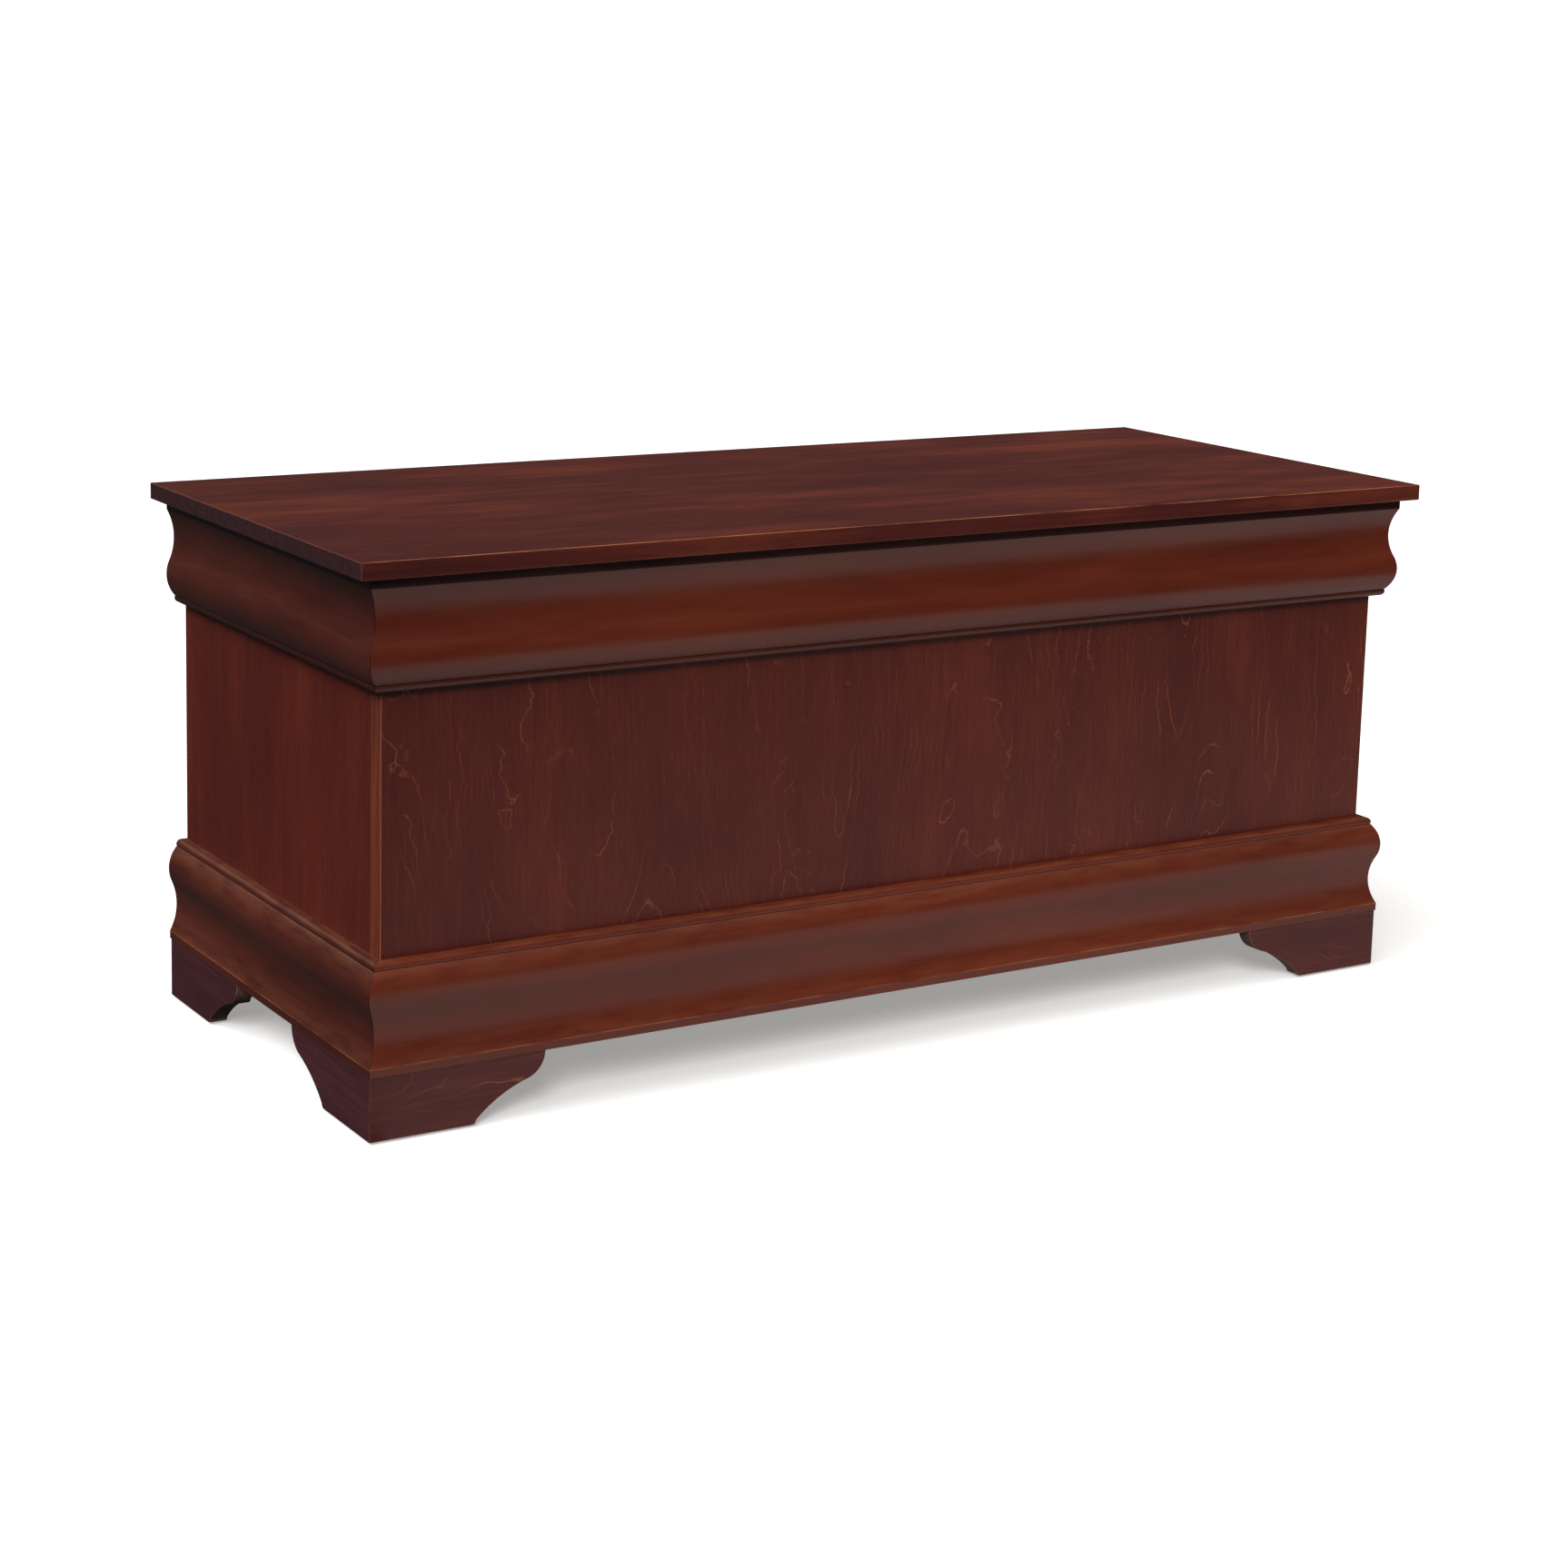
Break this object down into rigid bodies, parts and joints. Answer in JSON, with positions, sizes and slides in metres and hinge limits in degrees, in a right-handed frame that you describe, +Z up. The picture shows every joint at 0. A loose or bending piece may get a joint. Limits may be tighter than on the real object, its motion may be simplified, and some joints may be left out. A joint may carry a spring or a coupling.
{
  "type": "wooden chest",
  "caption": "Low wooden storage chest with a flat hinged lid, ogee crown and base mouldings, plain veneered panels and bracket feet.",
  "frame": {"origin": "on the floor under the middle of the lid, which is the middle of the whole chest seen from above", "axes": "+X to the right seen from the front, +Y towards the hinged back, +Z up"},
  "size_m": [1.2, 0.498, 0.522],
  "materials": {
    "veneer_lid": "red-brown stained veneer, satin lacquer",
    "veneer_panel": "red-brown stained veneer, satin lacquer",
    "lipping": "solid wood lipping, orange-brown stain, satin lacquer",
    "moulding": "stained moulding, satin lacquer",
    "foot_wood": "dark stained wood, satin lacquer",
    "inner_wood": "thinly stained softwood, sealed matt",
    "hinge_brass": "antique brass plate",
    "steel": "zinc-plated steel",
    "nylon": "black nylon",
    "rubber": "grey rubber"
  },
  "bodies": {
    "case": {"front_panel": "veneer_panel", "side_panel_left": "veneer_panel", "side_panel_right": "veneer_panel", "back_panel": "veneer_panel", "front_lipping_left": "lipping", "front_lipping_right": "lipping", "crown_front": "moulding", "crown_left": "moulding", "crown_right": "moulding", "base_front": "moulding", "base_left": "moulding", "base_right": "moulding", "foot_front_left_front_plate": "foot_wood", "foot_front_left_side_plate": "foot_wood", "foot_front_right_front_plate": "foot_wood", "foot_front_right_side_plate": "foot_wood", "foot_back_left_back_plate": "foot_wood", "foot_back_left_side_plate": "foot_wood", "foot_back_right_back_plate": "foot_wood", "foot_back_right_side_plate": "foot_wood", "bottom_panel": "inner_wood", "floor_cleat_front": "inner_wood", "floor_cleat_back": "inner_wood", "floor_cleat_left": "inner_wood", "floor_cleat_right": "inner_wood", "hinge_rail": "inner_wood", "foot_front_left_block": "inner_wood", "foot_front_right_block": "inner_wood", "foot_back_left_block": "inner_wood", "foot_back_right_block": "inner_wood", "hinge_left_case_leaf": "hinge_brass", "hinge_centre_case_leaf": "hinge_brass", "hinge_right_case_leaf": "hinge_brass", "hinge_left_pin": "steel", "hinge_centre_pin": "steel", "hinge_right_pin": "steel", "stay_stud_left": "steel", "stay_stud_right": "steel", "foot_front_left_glide": "nylon", "foot_front_right_glide": "nylon", "foot_back_left_glide": "nylon", "foot_back_right_glide": "nylon", "lid_bumper_left": "rubber", "lid_bumper_right": "rubber"},
    "lid": {"lid_panel": "veneer_lid", "lid_batten_left": "inner_wood", "lid_batten_right": "inner_wood", "hinge_left_lid_leaf": "hinge_brass", "hinge_centre_lid_leaf": "hinge_brass", "hinge_right_lid_leaf": "hinge_brass", "stay_bracket_left": "steel", "stay_bracket_right": "steel", "stay_rivet_left": "steel", "stay_rivet_right": "steel"},
    "stay_left": {"stay_arm_left": "steel"},
    "stay_right": {"stay_arm_right": "steel"}
  },
  "joints": [
    {"name": "lid_hinge", "type": "hinge", "parent": "case", "child": "lid", "pos_m": [0, 0.2457, 0.5027], "axis": [-1, 0, 0], "range_deg": [0, 95]},
    {"name": "stay_left_pivot", "type": "hinge", "parent": "lid", "child": "stay_left", "pos_m": [-0.547, 0.09608, 0.492], "axis": [-1, 0, 0], "range_deg": [-47.5, 0]},
    {"name": "stay_right_pivot", "type": "hinge", "parent": "lid", "child": "stay_right", "pos_m": [0.547, 0.09608, 0.492], "axis": [-1, 0, 0], "range_deg": [-47.5, 0]}
  ],
  "couplings": [
    {"joint": "stay_left_pivot", "follows": "lid_hinge", "ratio": -0.5},
    {"joint": "stay_right_pivot", "follows": "lid_hinge", "ratio": -0.5}
  ]
}
